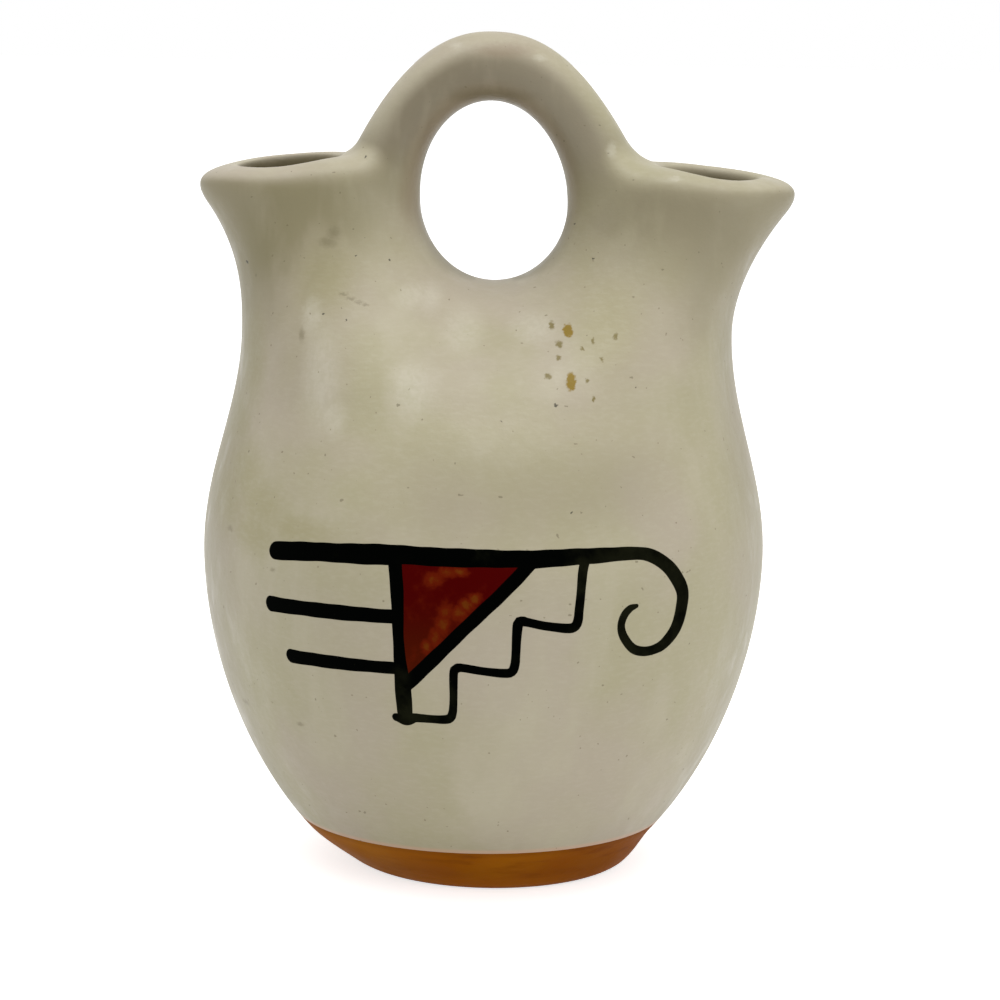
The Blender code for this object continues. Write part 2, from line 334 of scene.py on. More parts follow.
SMUDGES = [
    (-36.6, 156.3, 1.5, 1.7), (-38.0, 154.2, 2.0, 1.3), (-33.9, 142.6, 0.9, 0.35),
    (-32.1, 141.7, 1.0, 0.35), (-30.3, 140.9, 1.0, 0.35), (-28.6, 140.3, 0.8, 0.30),
    (-43.4, 133.4, 0.7, 1.5), (-60.0, 87.0, 0.7, 0.6), (-48.8, 80.4, 0.7, 0.5),
    (-42.4, 43.2, 0.8, 0.6), (-56.4, 44.0, 0.8, 0.6), (0.0, 188.4, 9.0, 1.8),
]
# Painted sheen and glints: pale patches on the shoulder and small pale spots on the handle and lips.
SHEENS = [
    (-17.8, 141.9, 4.0, 2.6), (-5.8, 134.5, 4.5, 4.5), (-17.0, 122.5, 5.0, 5.5),
    (10.7, 135.4, 5.0, 3.0), (-38.5, 124.0, 4.0, 11.0), (-8.5, 200.3, 1.7, 0.9),
    (11.7, 197.6, 1.5, 0.8), (29.0, 176.2, 1.1, 1.7), (44.3, 170.1, 1.4, 0.6),
    (-35.5, 115.5, 3.0, 4.0), (-41.0, 137.2, 2.2, 4.0), (-13.6, 141.4, 2.6, 3.0),
]
OLIVE_AND_SHADE_SPOTS = [
    (-59.0, 112.0, 3.5, 7.0), (-57.0, 101.0, 5.0, 8.0), (-52.5, 94.5, 6.0, 5.5),
    (-43.0, 90.5, 8.0, 3.2), (-61.0, 94.0, 5.5, 9.0), (-54.0, 88.0, 6.0, 5.0),
    (-56.5, 127.0, 4.0, 13.0), (28.0, 137.0, 8.5, 11.0), (-38.0, 147.0, 7.0, 8.0),
]
HANDLE_SHADE_SPOTS = [(3.0, 199.3, 7.0, 1.8)]
SLIP_OLIVE = (0.385, 0.352, 0.226, 1)
SLIP_PINK = (0.415, 0.364, 0.274, 1)
SLIP_PALE = (0.440, 0.400, 0.288, 1)
SLIP_GRAIN = (0.52, 0.48, 0.37, 1)
SLIP_SHEEN = (0.60, 0.57, 0.47, 1)
SLIP_BRIM = (0.58, 0.37, 0.25, 1)
OLIVE_AND_SHADE_TONE = (0.355, 0.320, 0.188, 1)
KHAKI_LEFT = (0.218, 0.192, 0.105, 1)
KHAKI_RIGHT = (0.242, 0.212, 0.132, 1)
KHAKI_TOP_LEFT = (0.198, 0.168, 0.110, 1)
KHAKI_TOP_RIGHT = (0.236, 0.204, 0.140, 1)
KHAKI_SHADE = (0.236, 0.206, 0.125, 1)
HOLE_SHADE_BROWN = (0.270, 0.208, 0.138, 1)
SPECK_BROWN = (0.13, 0.105, 0.055, 1)
SMUDGE_GREY = (0.12, 0.10, 0.045, 1)
FLAKE_BROWN = (0.155, 0.118, 0.018, 1)
CHIP_GOLD = (0.222, 0.140, 0.0, 1)
PINHOLE_DARK = (0.030, 0.026, 0.014, 1)
CLAY_DARK = (0.075, 0.058, 0.022, 1)
CLAY_LIGHT = (0.135, 0.108, 0.050, 1)
SLIP_GLOSS = 0.28
SLIP_RELIEF = 0.0005


def lean(x, z):
    """Sideways lean of the hole and the wall under it to the right, gone again at the sides."""
    upright = ease(LEAN_START, LEAN_FULL, z) * (1 - LEAN_LOSS * ease(LEAN_FULL, LEAN_END, z))
    return LEAN * upright * (1 - ease(LEAN_INNER, LEAN_OUTER, np.abs(x)))


def wall_reach(x, z):
    """Half width: an oval below the belly, half a cosine in to the waist, then a flare out."""
    turn = np.pi * np.clip((z - BELLY_Z) / (WAIST_Z - BELLY_Z), 0, 1)
    inward = WAIST_R + (BELLY_R - WAIST_R) * (1 + np.cos(turn)) / 2
    right = ease(-SIDE_BLEND, SIDE_BLEND, x)
    rim = LEFT_RIM_R + (RIGHT_RIM_R - LEFT_RIM_R) * right
    rise = np.maximum((z - WAIST_Z) / (RIM_Z - WAIST_Z), 0.0)
    flare = (rim - WAIST_R) * rise ** (LEFT_FLARE + (RIGHT_FLARE - LEFT_FLARE) * right)
    return np.where(z < BELLY_Z, bowl_radius(z), inward + flare)


def wall_depth(z):
    """Greatest half depth: the belly's radius eased by half a cosine to the rim's depth."""
    turn = np.pi * np.clip((z - BELLY_Z) / (RIM_Z - BELLY_Z), 0, 1)
    upper = RIM_HALF_DEPTH + (BELLY_R - RIM_HALF_DEPTH) * (1 + np.cos(turn)) / 2
    return np.where(z < BELLY_Z, bowl_radius(z), upper)


def soft_min(first, second, width):
    """Smaller of two values, with the corner between them filled over about this width."""
    near = np.maximum(width - np.abs(first - second), 0)
    return np.minimum(first, second) - near**2 / (4 * width)


def soft_max(first, second, width):
    """Larger of two values, with the corner between them rounded over about this width."""
    return -soft_min(-first, -second, width)


def outer_section(x, z):
    """Half width, square of the hole's half width (negative below it) and half depth at z."""
    reach = wall_reach(x, z)
    half_h = np.where(z < HOLE_Z, HOLE_DOWN, HOLE_UP)
    square = HOLE_HALF_W**2 * (1 - ((z - HOLE_Z) / half_h) ** 2)
    return reach, soft_max(square, -(reach**2), SQUARE_ROUND), wall_depth(z)


def cavity_section(x, z):
    """The same for the cavity, whose inner side moves out to the mouths towards the rims."""
    rise = ease(HOLE_Z - HOLE_DOWN, RIM_Z, z)
    thick = WALL + (LIP_W - WALL) * rise
    bore = wall_reach(x, np.minimum(z, RIM_Z)) - thick - NOSE * rise
    bore = np.where(z < BELLY_Z, bowl_bore(z), bore)
    landing = LANDING + (RIGHT_LANDING - LANDING) * ease(-SIDE_BLEND, SIDE_BLEND, x)
    half_w = HOLE_HALF_W + SADDLE_WALL + (landing - SADDLE_WALL) * rise
    square = half_w**2 * (1 - (np.minimum(z - HOLE_Z, 0) / (HOLE_DOWN + SADDLE_WALL)) ** 2)
    depth = np.where(z < BELLY_Z, bowl_bore(z), wall_depth(z) - thick)
    return bore, soft_max(square, -(bore**2), SQUARE_ROUND), depth


def oval_terms(section):
    """Cassini terms c*c and b*b of a section, and the stretch in depth that it needs."""
    reach, square, depth = section
    centre = (reach**2 + square) / 2
    size = (reach**2 - square) / 2
    waisted = size / (2 * np.sqrt(np.maximum(centre, 1e-9)))
    widest = np.where(size < 2 * centre, waisted, np.sqrt(np.maximum(size - centre, 1e-12)))
    return centre, size, depth / widest


def oval_rows(section, levels):
    """Level sections as square roots of circles in the complex plane, right half then left."""
    z = levels[:, None]
    shares = np.linspace(-1, 1, ROUND_STEPS // 2, endpoint=False)[None, :]
    halves = []
    for way in (1, -1):
        reach, square, depth = section(SIDE_X * way, z)
        centre, size, stretch = oval_terms((reach, square, depth))
        end = np.sqrt(np.abs(square))
        bunch = (reach - end) / (reach + end)
        turn = way * np.pi * (shares + bunch * (shares - shares * np.abs(shares)))
        root = np.sqrt(centre + size * np.exp(1j * turn))
        x = way * root.real
        for _ in range(4):
            x = way * root.real + lean(x, z)
        halves.append(np.stack([x + foot_offset(z), stretch * root.imag, z + 0 * turn], axis=-1))
    return np.concatenate(halves, axis=1)


def sideways(normals):
    """How far a wall faces left or right rather than front or back."""
    return np.abs(normals[:, 0]) / np.maximum(np.hypot(normals[:, 0], normals[:, 1]), 0.3)


def wall_piece(name, levels):
    """Closed ring of wall between its first and last level, the outside and then the cavity."""
    step = levels[1] - levels[0]
    beyond = np.concatenate([[levels[0] - step], levels, [levels[-1] + step]])
    outer = oval_rows(outer_section, beyond)
    inner = oval_rows(cavity_section, beyond[::-1])
    grid = np.concatenate([outer[1:-1], inner[1:-1]])
    normals = np.concatenate([grid_normals(outer)[1:-1], grid_normals(inner)[1:-1]])
    inside = np.repeat(np.arange(len(grid)) >= len(levels), ROUND_STEPS)
    faces = ring_faces(len(grid), ROUND_STEPS, True)
    marks = {"inside": inside, "flank": sideways(normals.reshape(-1, 3))}
    piece = new_piece(name + "_clay", slip, grid, faces, normals, marks)
    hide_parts(name)


def wandered(place):
    """The place moved about by a fine noise, so that the edge of a mark drawn there is uneven."""
    inputs = {"Vector": place, "Scale": 1100, "Detail": 3.0}
    wobble = place.add("ShaderNodeTexNoise", {}, inputs, "Color")
    shift = wobble.add("ShaderNodeVectorMath", {"operation": "SCALE"}, {0: wobble, "Scale": WANDER})
    return place.add("ShaderNodeVectorMath", {"operation": "ADD"}, {0: place, 1: shift})


def spots(here, marks, outer, inner):
    """Where marks on the front are: ovals about (x, z) with half sizes in mm, faded outwards."""
    total = 0.0
    for x, z, half_w, half_h in marks:
        centre = (MM * x + WANDER / 2, 0.0, MM * z + WANDER / 2)
        away = here.add("ShaderNodeVectorMath", {"operation": "SUBTRACT"}, {0: here, 1: centre})
        away = away.stretched((1 / (MM * half_w), 0.0, 1 / (MM * half_h)))
        far = away.add("ShaderNodeVectorMath", {"operation": "LENGTH"}, {0: away}, "Value")
        total = far.math("MAXIMUM", far.span(outer, inner), total)
    return total * here.axis("Y").span(0.0, FRONT_Y)


def slip_colour(place):
    """Cream slip in olive and pinkish clouds, khaki above, small marks, painted sheen, highlight and
    shade; brown clay inside.
    """
    x = place.axis("X")
    z = place.axis("Z")
    here = wandered(place)
    drawn = place.stretched((1.0, 1.0, 0.3))
    cream = place.noise(24, 3).span(0.38, 0.64).blend(SLIP_OLIVE, SLIP_PINK)
    cream = drawn.noise(60, 4, 0.55).span(0.45, 0.75).blend(cream, SLIP_PALE)
    # Olive clouds: partly the slip's own tone, partly painted shade on the left flank and beside the
    # saddle.
    cream = (spots(here, OLIVE_AND_SHADE_SPOTS, 1.6, 0.2) * 0.9).blend(cream, OLIVE_AND_SHADE_TONE)
    grain = place.stretched((1.0, 1.0, 3.0)).noise(420, 4, 0.6)
    cream = (grain.span(0.42, 0.72) * 0.15).blend(cream, SLIP_GRAIN)
    khaki = x.span(-0.030, 0.030).blend(KHAKI_LEFT, KHAKI_RIGHT)
    upper = x.span(-0.010, 0.018).blend(KHAKI_TOP_LEFT, KHAKI_TOP_RIGHT)
    khaki = z.span(0.165, 0.180).blend(khaki, upper)
    height = z - x.math("MINIMUM", x, 0.0) * 0.08 + (place.noise(33, 3) - 0.5) * 0.030
    outward = x.math("ABSOLUTE", x)
    beside = outward.math("MAXIMUM", outward.span(0.015, 0.038), z.span(0.154, 0.174))
    # Painted highlight: tops that face up, and the sides of the upper parts, are kept free of khaki so
    # that they stay pale.
    lit_top = place.add("ShaderNodeAttribute", {"attribute_name": "lit_top"}, {}, "Fac")
    khaki_and_painted_light = height.span(0.122, 0.158) * (beside * 0.83 + 0.12) * (1 - lit_top)
    khaki_and_painted_light = khaki_and_painted_light * (1 - drawn.noise(110, 3).span(0.50, 0.70) * 0.25)
    # Painted light: less khaki towards the far left and right, where the wall turns away.
    khaki_and_painted_light = khaki_and_painted_light * (1 - outward.span(0.050, 0.066) * 0.25)
    cream = khaki_and_painted_light.blend(cream, khaki)
    # Painted shade: walls that face left or right are darkened towards khaki below the rims.
    flank = place.add("ShaderNodeAttribute", {"attribute_name": "flank"}, {}, "Fac")
    flank = flank.span(0.80, 1.0) * z.span(0.172, 0.158)
    cream = (flank * 0.60).blend(cream, KHAKI_SHADE)
    # Painted shade: a darker khaki band a little above the widest level, across the middle.
    front_shade = z.span(0.086, 0.100) * z.span(0.117, 0.103)
    front_shade = front_shade * x.span(-0.030, -0.005) * x.span(0.050, 0.030)
    cream = (front_shade * 0.35).blend(cream, KHAKI_SHADE)
    # Painted shade: brown round the top of the hole under the handle's arch, and a darker patch on the
    # middle of the handle's top.
    hole = (0.0, HOLE_Z / MM, HOLE_HALF_W / MM, HOLE_UP / MM)
    under = spots(here, [hole], 1.30, 1.02) * z.span(0.150, 0.165)
    under = under.math("MAXIMUM", under, spots(here, HANDLE_SHADE_SPOTS, 1.5, 0.3))
    cream = (under * 0.55).blend(cream, HOLE_SHADE_BROWN)
    # Painted sheen: the listed patches are lightened in fine streaks.
    streaks = drawn.noise(800, 3, 0.6).span(0.35, 0.65) * 0.35 + 0.65
    sheen = spots(here, SHEENS, 1.6, 0.2) * streaks
    cream = (sheen * 0.38).blend(cream, SLIP_SHEEN)
    brim = z.span(BAND_TOP + 0.0015, BAND_TOP + 0.0003)
    cream = (brim * 0.7).blend(cream, SLIP_BRIM)
    specks = place.noise(800, 1, 0.3).span(0.77, 0.80)
    cream = (specks * 0.55).blend(cream, SPECK_BROWN)
    cream = (spots(here, SMUDGES, 1.6, 0.1) * 0.42).blend(cream, SMUDGE_GREY)
    cream = (spots(here, FLAKES, 1.15, 0.4) * 0.85).blend(cream, FLAKE_BROWN)
    cream = spots(here, CHIPS, 1.25, 0.8).blend(cream, CHIP_GOLD)
    cream = (spots(here, PINHOLES, 1.1, 0.5) * 0.85).blend(cream, PINHOLE_DARK)
    inside = place.add("ShaderNodeAttribute", {"attribute_name": "inside"}, {}, "Fac")
    clay = place.noise(90, 4).span(0.3, 0.7).blend(CLAY_DARK, CLAY_LIGHT)
    return inside.span(0.35, 0.95).blend(cream, clay)


def slip_roughness(place):
    burnished = place.stretched((1.0, 1.0, 0.4)).noise(170, 3).span(0.50, 0.66)
    return place.noise(45, 3) * 0.14 + 0.38 - burnished * 0.10


def slip_bump(place):
    return place.noise(420, 3, 0.55) * 0.25 + place.noise(55, 2)


slip = shade("slip", slip_colour, slip_roughness, SLIP_GLOSS, slip_bump, SLIP_RELIEF)
wall_piece("belly", np.linspace(BAND_TOP, BELLY_Z, BELLY_ROWS))

# The shoulder is the coiled wall above the widest level. It closes in and draws a waist in the
# middle of its front and back, where the two spouts begin to part.
SHOULDER_ROWS = 56
wall_piece("shoulder", np.linspace(BELLY_Z, SHOULDER_TOP, SHOULDER_ROWS))

# The spouts are the two halves of the wall above the shoulder, drawn out by hand and slipped over.
# With rims and handle they are one skin of clay, the zero level of a field of distances, so that
# every root and rim flows into the next. The skin is parted at the luted seams into its pieces.
GRID_STEP = 0.0009
COARSE = 4
NEAR = 0.008
CLAY_LOW = (-0.0785, -0.0430, 0.1255)
CLAY_HIGH = (0.0785, 0.0430, 0.2065)
LEFT_TOP = 0.1734
RIGHT_TOP = 0.1723
TOP_AT = 0.035
LEFT_BEND = 3.7
RIGHT_BEND = 2.55
RIM_BLEND = 0.010
RIM_ROUND = 0.0080
MOUTH_ROUND = 0.0035
RIM_DIP = 0.0011
LEFT_DIP_X = 0.0510
RIGHT_DIP_X = 0.0570
DIP_HALF_W = 0.0180
DIP_Y = -0.012
HANDLE_TOP = 0.2034
HANDLE_X = 0.0270
HANDLE_SKEW = 0.0008
HANDLE_DROP = 0.0167
HANDLE_POWER = 2.25
HANDLE_HALF_DEPTH = 0.0090
HANDLE_LEAST = 0.002
HANDLE_FOOT_Z = 0.158
HANDLE_FOOT_ROUND = 0.004
LEG_GROWTH = 0.0030
LEG_LOW = 0.160
LEG_HIGH = 0.185
ROOT_LEAST = 0.0002
LEFT_ROOT = 0.0038
RIGHT_ROOT = 0.0063
ROOT_START = 0.0005
ROOT_FULL = 0.016
SEAT_X = 0.0527
SEAT_SLOPE = 0.14
LEFT_BARE = 0.80
RIGHT_BARE = 0.55
LOWER_MOUTH = -0.006
UPPER_MOUTH = -0.001
BARE_START = 0.0004
BARE_END = 0.0030
FLANK_LOW = 0.170
FLANK_HIGH = 0.185
# How strongly tops, and upper sides, take the painted highlight.
FLANK_LIT_TOP = 0.35
LIT_TOP_START = 0.18
LIT_TOP_FULL = 0.88


def oval_gap(section, x, y, z):
    """Distance outside a wall of Cassini ovals: the oval's level over the level's own slope."""

    def level(x, y, z):
        out = x - lean(x, z)
        centre, size, stretch = oval_terms(section(x, z))
        across = out**2
        fourth = (across + (y / stretch) ** 2 + centre) ** 2 - 4 * centre * across
        return np.sqrt(size) * ((np.maximum(fourth, 0.0) / size**2) ** 0.25 - 1)

    nudge = 1e-5
    slopes = [
        level(x + nudge, y, z) - level(x - nudge, y, z),
        level(x, y + nudge, z) - level(x, y - nudge, z),
        level(x, y, z + nudge) - level(x, y, z - nudge),
    ]
    slope = np.sqrt(sum(part**2 for part in slopes)) / (2 * nudge)
    return level(x, y, z) / np.maximum(slope, 0.3)


def rim_dome(x, y, z):
    """Height above the rim tops, which bend down towards the tips and dip in front of a mouth."""
    right = ease(-RIM_BLEND, RIM_BLEND, x)
    top = LEFT_TOP + (RIGHT_TOP - LEFT_TOP) * right
    bend = LEFT_BEND + (RIGHT_BEND - LEFT_BEND) * right
    dip_x = LEFT_DIP_X + (RIGHT_DIP_X - LEFT_DIP_X) * right
    from_dip = np.abs(np.abs(x) - dip_x)
    dip = RIM_DIP * ease(0.0, DIP_Y, y) * (1 - ease(0.0, DIP_HALF_W, from_dip))
    return z - top + bend * np.maximum(np.abs(x) - TOP_AT, 0) ** 2 + dip


def handle_gap(x, y, z):
    """Distance outside an oval coil between the hole and an outer curve, and that outside the hole."""
    out = x - lean(x, z)
    high = z - HOLE_Z
    half_h = np.where(high < 0, HOLE_DOWN, HOLE_UP)
    ring = np.hypot(out / HOLE_HALF_W, high / half_h)
    slope = np.hypot(out / HOLE_HALF_W**2, high / half_h**2)
    from_hole = (ring - 1) * ring / np.maximum(slope, 1.0)
    share = np.abs(out) / (HANDLE_X - HANDLE_SKEW * ease(RIM_BLEND, -RIM_BLEND, x))
    under = HANDLE_TOP - HANDLE_DROP * share**HANDLE_POWER - z
    fall = HANDLE_DROP / HANDLE_X * HANDLE_POWER * share ** (HANDLE_POWER - 1)
    from_top = under / np.sqrt(1 + fall**2)
    thick = np.maximum(from_hole + from_top, HANDLE_LEAST) / 2
    depth = HANDLE_HALF_DEPTH + LEG_GROWTH * (1 - ease(LEG_LOW, LEG_HIGH, z))
    coil = np.hypot((from_hole - from_top) / 2 / thick, y / depth) - 1
    return coil * np.minimum(thick, depth), from_hole


def clay_gap(x, y, z):
    """Distance outside the clay: wall cut at the rims, handle grown onto it, cavity cut out."""
    wall = soft_max(oval_gap(outer_section, x, y, z), rim_dome(x, y, z), RIM_ROUND)
    handle, from_hole = handle_gap(x, y, z)
    handle = soft_max(handle, HANDLE_FOOT_Z - z, HANDLE_FOOT_ROUND)
    root = LEFT_ROOT + (RIGHT_ROOT - LEFT_ROOT) * ease(-RIM_BLEND, RIM_BLEND, x)
    root = ROOT_LEAST + root * ease(ROOT_START, ROOT_FULL, from_hole)
    body = soft_min(wall, handle, root)
    return soft_max(body, -oval_gap(cavity_section, x, y, z), MOUTH_ROUND)


def clay_slope(points):
    """Direction in which the clay's distance grows, at every point."""
    nudge = 2e-5
    shifts = nudge * np.eye(3)
    parts = [clay_gap(*(points + shift).T) - clay_gap(*(points - shift).T) for shift in shifts]
    return np.stack(parts, axis=1) / (2 * nudge)


def skin(values):
    """Surface nets: one point in every crossed cell, a quad round every crossed grid edge."""
    solid = values < 0
    cells = np.array(values.shape) - 1
    total = np.zeros((*cells, 3))
    count = np.zeros(cells)

    def corner(shift):
        return tuple(slice(start, start + size) for start, size in zip(shift, cells))

    for axis in range(3):
        for second in (0, 1):
            for third in (0, 1):
                low = np.zeros(3, dtype=int)
                low[(axis + 1) % 3] = second
                low[(axis + 2) % 3] = third
                high = low + np.eye(3, dtype=int)[axis]
                first, last = values[corner(low)], values[corner(high)]
                crossed = solid[corner(low)] != solid[corner(high)]
                share = np.where(crossed, first / np.where(crossed, first - last, 1), 0)
                total += crossed[..., None] * low
                total[..., axis] += share
                count += crossed
    used = count > 0
    number = np.full(cells, -1)
    number[used] = np.arange(used.sum())
    points = np.argwhere(used) + total[used] / count[used][:, None]
    quads = []
    for axis in range(3):
        second, third = (axis + 1) % 3, (axis + 2) % 3
        ahead = np.roll(solid, -1, axis)
        crossed = solid != ahead
        crossed[tuple(-1 if way == axis else slice(None) for way in range(3))] = False
        found = np.argwhere(crossed)
        found = found[(found[:, second] > 0) & (found[:, third] > 0)]
        found = found[(found < cells).all(axis=1)]
        ring = []
        for back_second, back_third in ((1, 1), (0, 1), (0, 0), (1, 0)):
            cell = found.copy()
            cell[:, second] -= back_second
            cell[:, third] -= back_third
            ring.append(number[tuple(cell.T)])
        quad = np.stack(ring, axis=1)
        leaving = solid[tuple(found.T)]
        quads.append(np.where(leaving[:, None], quad, quad[:, ::-1]))
    return points, np.concatenate(quads)


axes = [np.arange(start, end, GRID_STEP) for start, end in zip(CLAY_LOW, CLAY_HIGH)]
x, y, z = np.meshgrid(*axes, indexing="ij")
values = clay_gap(*np.meshgrid(*(axis[::COARSE] for axis in axes), indexing="ij"))
for axis, size in enumerate(x.shape):
    values = np.repeat(values, COARSE, axis).take(np.arange(size), axis)
near = np.abs(values) < NEAR
values[near] = clay_gap(x[near], y[near], z[near])
clay_points, clay_faces = skin(values)
clay_points = np.array(CLAY_LOW) + GRID_STEP * clay_points
for _ in range(4):
    slope = clay_slope(clay_points)
    step = clay_gap(*clay_points.T) / np.maximum((slope**2).sum(axis=1), 0.1)
    clay_points -= np.clip(step, -GRID_STEP / 2, GRID_STEP / 2)[:, None] * slope
clay_mesh = bpy.data.meshes.new("clay")
clay_mesh.from_pydata(clay_points, [], clay_faces)


def parted(cuts):
    """Copy of the clay skin on the inner side of all cuts (place, outward way, capped)."""
    shape = bmesh.new()
    shape.from_mesh(clay_mesh)
    for place, way, capped in cuts:
        geometry = [*shape.verts, *shape.edges, *shape.faces]
        cut = bmesh.ops.bisect_plane(
            shape,
            geom=geometry,
            dist=1e-7,
            plane_co=place,
            plane_no=way,
            clear_outer=True,
        )
        edges = [item for item in cut["geom_cut"] if isinstance(item, bmesh.types.BMEdge)]
        if capped:
            bmesh.ops.triangle_fill(shape, edges=edges, use_beauty=True, normal=way)
    return shape


def clay_piece(name, shapes):
    """Piece of the clay from its parted shapes, welded, with the field's normals and marks for its bare
    inside, painted highlight and painted shade.
    """
    whole = bmesh.new()
    for shape in shapes:
        spare = bpy.data.meshes.new(name)
        shape.to_mesh(spare)
        whole.from_mesh(spare)
        shape.free()
        bpy.data.meshes.remove(spare)
    bmesh.ops.remove_doubles(whole, verts=whole.verts, dist=2e-6)
    bmesh.ops.recalc_face_normals(whole, faces=whole.faces)
    points = np.array([vert.co[:] for vert in whole.verts])
    faces = [[vert.index for vert in face.verts] for face in whole.faces]
    whole.free()
    slope = clay_slope(points)
    normals = slope / np.linalg.norm(slope, axis=1)[:, None]
    inside = 1 - ease(BARE_START, BARE_END, oval_gap(cavity_section, *points.T))
    bare = LEFT_BARE + (RIGHT_BARE - LEFT_BARE) * ease(-RIM_BLEND, RIM_BLEND, points[:, 0])
    inside *= bare + (1 - bare) * ease(UPPER_MOUTH, LOWER_MOUTH, rim_dome(*points.T))
    # Painted highlight on tops that face up and on the sides of the upper parts, kept as a mark for the
    # colour.
    flank = np.abs(normals[:, 0]) * ease(FLANK_LOW, FLANK_HIGH, points[:, 2])
    lit_top = ease(LIT_TOP_START, LIT_TOP_FULL, normals[:, 2] + FLANK_LIT_TOP * flank)
    marks = {"inside": inside, "lit_top": lit_top, "flank": sideways(normals)}
    piece = new_piece(name + "_clay", slip, points, faces, normals, marks)
    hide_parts(name)


def turned_over(cut):
    """The same cut, with the other side kept."""
    place, way, capped = cut
    return place, tuple(-part for part in way), capped


floor_cut = ((0, 0, SHOULDER_TOP), (0, 0, -1), True)
sides = {"left": -1, "right": 1}
seats = {}
for side, way in sides.items():
    seats[side] = ((way * SEAT_X, 0, RIM_Z), (way * SEAT_SLOPE, 0, 1), True)
    middle_cut = ((0, 0, 0), (-way, 0, 0), True)
    clay_piece(side + "_spout", [parted([floor_cut, middle_cut, seats[side]])])

# The lips are the rim coils round the two mouths, pressed onto the sloping seats of the spouts and
# smoothed over. Each ends at an upright face on the outside of a leg of the handle.
LEG_FACE = 0.0357
for side, way in sides.items():
    leg_cut = ((way * LEG_FACE, 0, 0), (-way, 0, 0), True)
    clay_piece(side + "_lip", [parted([turned_over(seats[side]), leg_cut])])

# The bridge handle is an arched coil of the same clay, luted at both feet between lip and spout.
# Its two halves are parted from the skin by themselves and welded at the top of the arch.
legs = []
for side, way in sides.items():
    leg_cut = ((way * LEG_FACE, 0, 0), (way, 0, 0), True)
    middle_cut = ((0, 0, 0), (-way, 0, 0), False)
    legs.append(parted([turned_over(seats[side]), leg_cut, middle_cut]))
clay_piece("bridge_handle", legs)
bpy.data.meshes.remove(clay_mesh)

# The front carries a brushed figure in black mineral paint: three bars, a hooked scroll, a stair
# and a triangle. Each brush stroke is its own film of paint, laid on the wall along its path.
PAINT_LIFT = 0.00010
PAINT_STEP = 0.000004
PAINT_SINK = 0.00020
SPREAD_R = BELLY_R
ACROSS = 9
STROKE_STEP = 0.0005
EDGE_WAVE = 0.030
EDGE_RIPPLE = 0.020
PAINT_BLACK = (0.0003, 0.0005, 0.0003, 1)
PAINT_THIN = (0.0080, 0.0085, 0.0038, 1)
PAINT_GLOSS = 0.005


def wall_point(along, z):
    """Place on the outer wall at an arc length round the belly's front and a height."""
    turn = along / SPREAD_R
    centre, size, stretch = oval_terms(outer_section(along, z))
    across = np.sin(turn) ** 2
    reach = across + (np.cos(turn) / stretch) ** 2
    middle = 2 * centre * (reach - 2 * across)
    root = np.sqrt(middle**2 - 4 * reach**2 * (centre**2 - size**2))
    radius = np.sqrt((root - middle) / 2) / reach
    return np.stack([radius * np.sin(turn), -radius * np.cos(turn), z + 0 * along], axis=-1)


def wall_normal(along, z):
    """Outward direction of the wall, from places a nudge apart along and up."""
    nudge = 1e-5
    side = wall_point(along + nudge, z) - wall_point(along - nudge, z)
    up = wall_point(along, z + nudge) - wall_point(along, z - nudge)
    normal = np.cross(side, up)
    return normal / np.linalg.norm(normal, axis=-1, keepdims=True)


def eased_path(points, count):
    """Smooth curve through points: cubics with the slope at a point taken from its neighbours."""
    points = np.array(points, dtype=float)
    slopes = np.gradient(points, axis=0)
    spot = np.linspace(0, len(points) - 1, count)
    start = np.minimum(spot.astype(int), len(points) - 2)
    share = (spot - start)[:, None]
    first, second = points[start], points[start + 1]
    leaving = (first * (1 + 2 * share) + slopes[start] * share) * (1 - share) ** 2
    return leaving + (second * (3 - 2 * share) - slopes[start + 1] * (1 - share)) * share**2


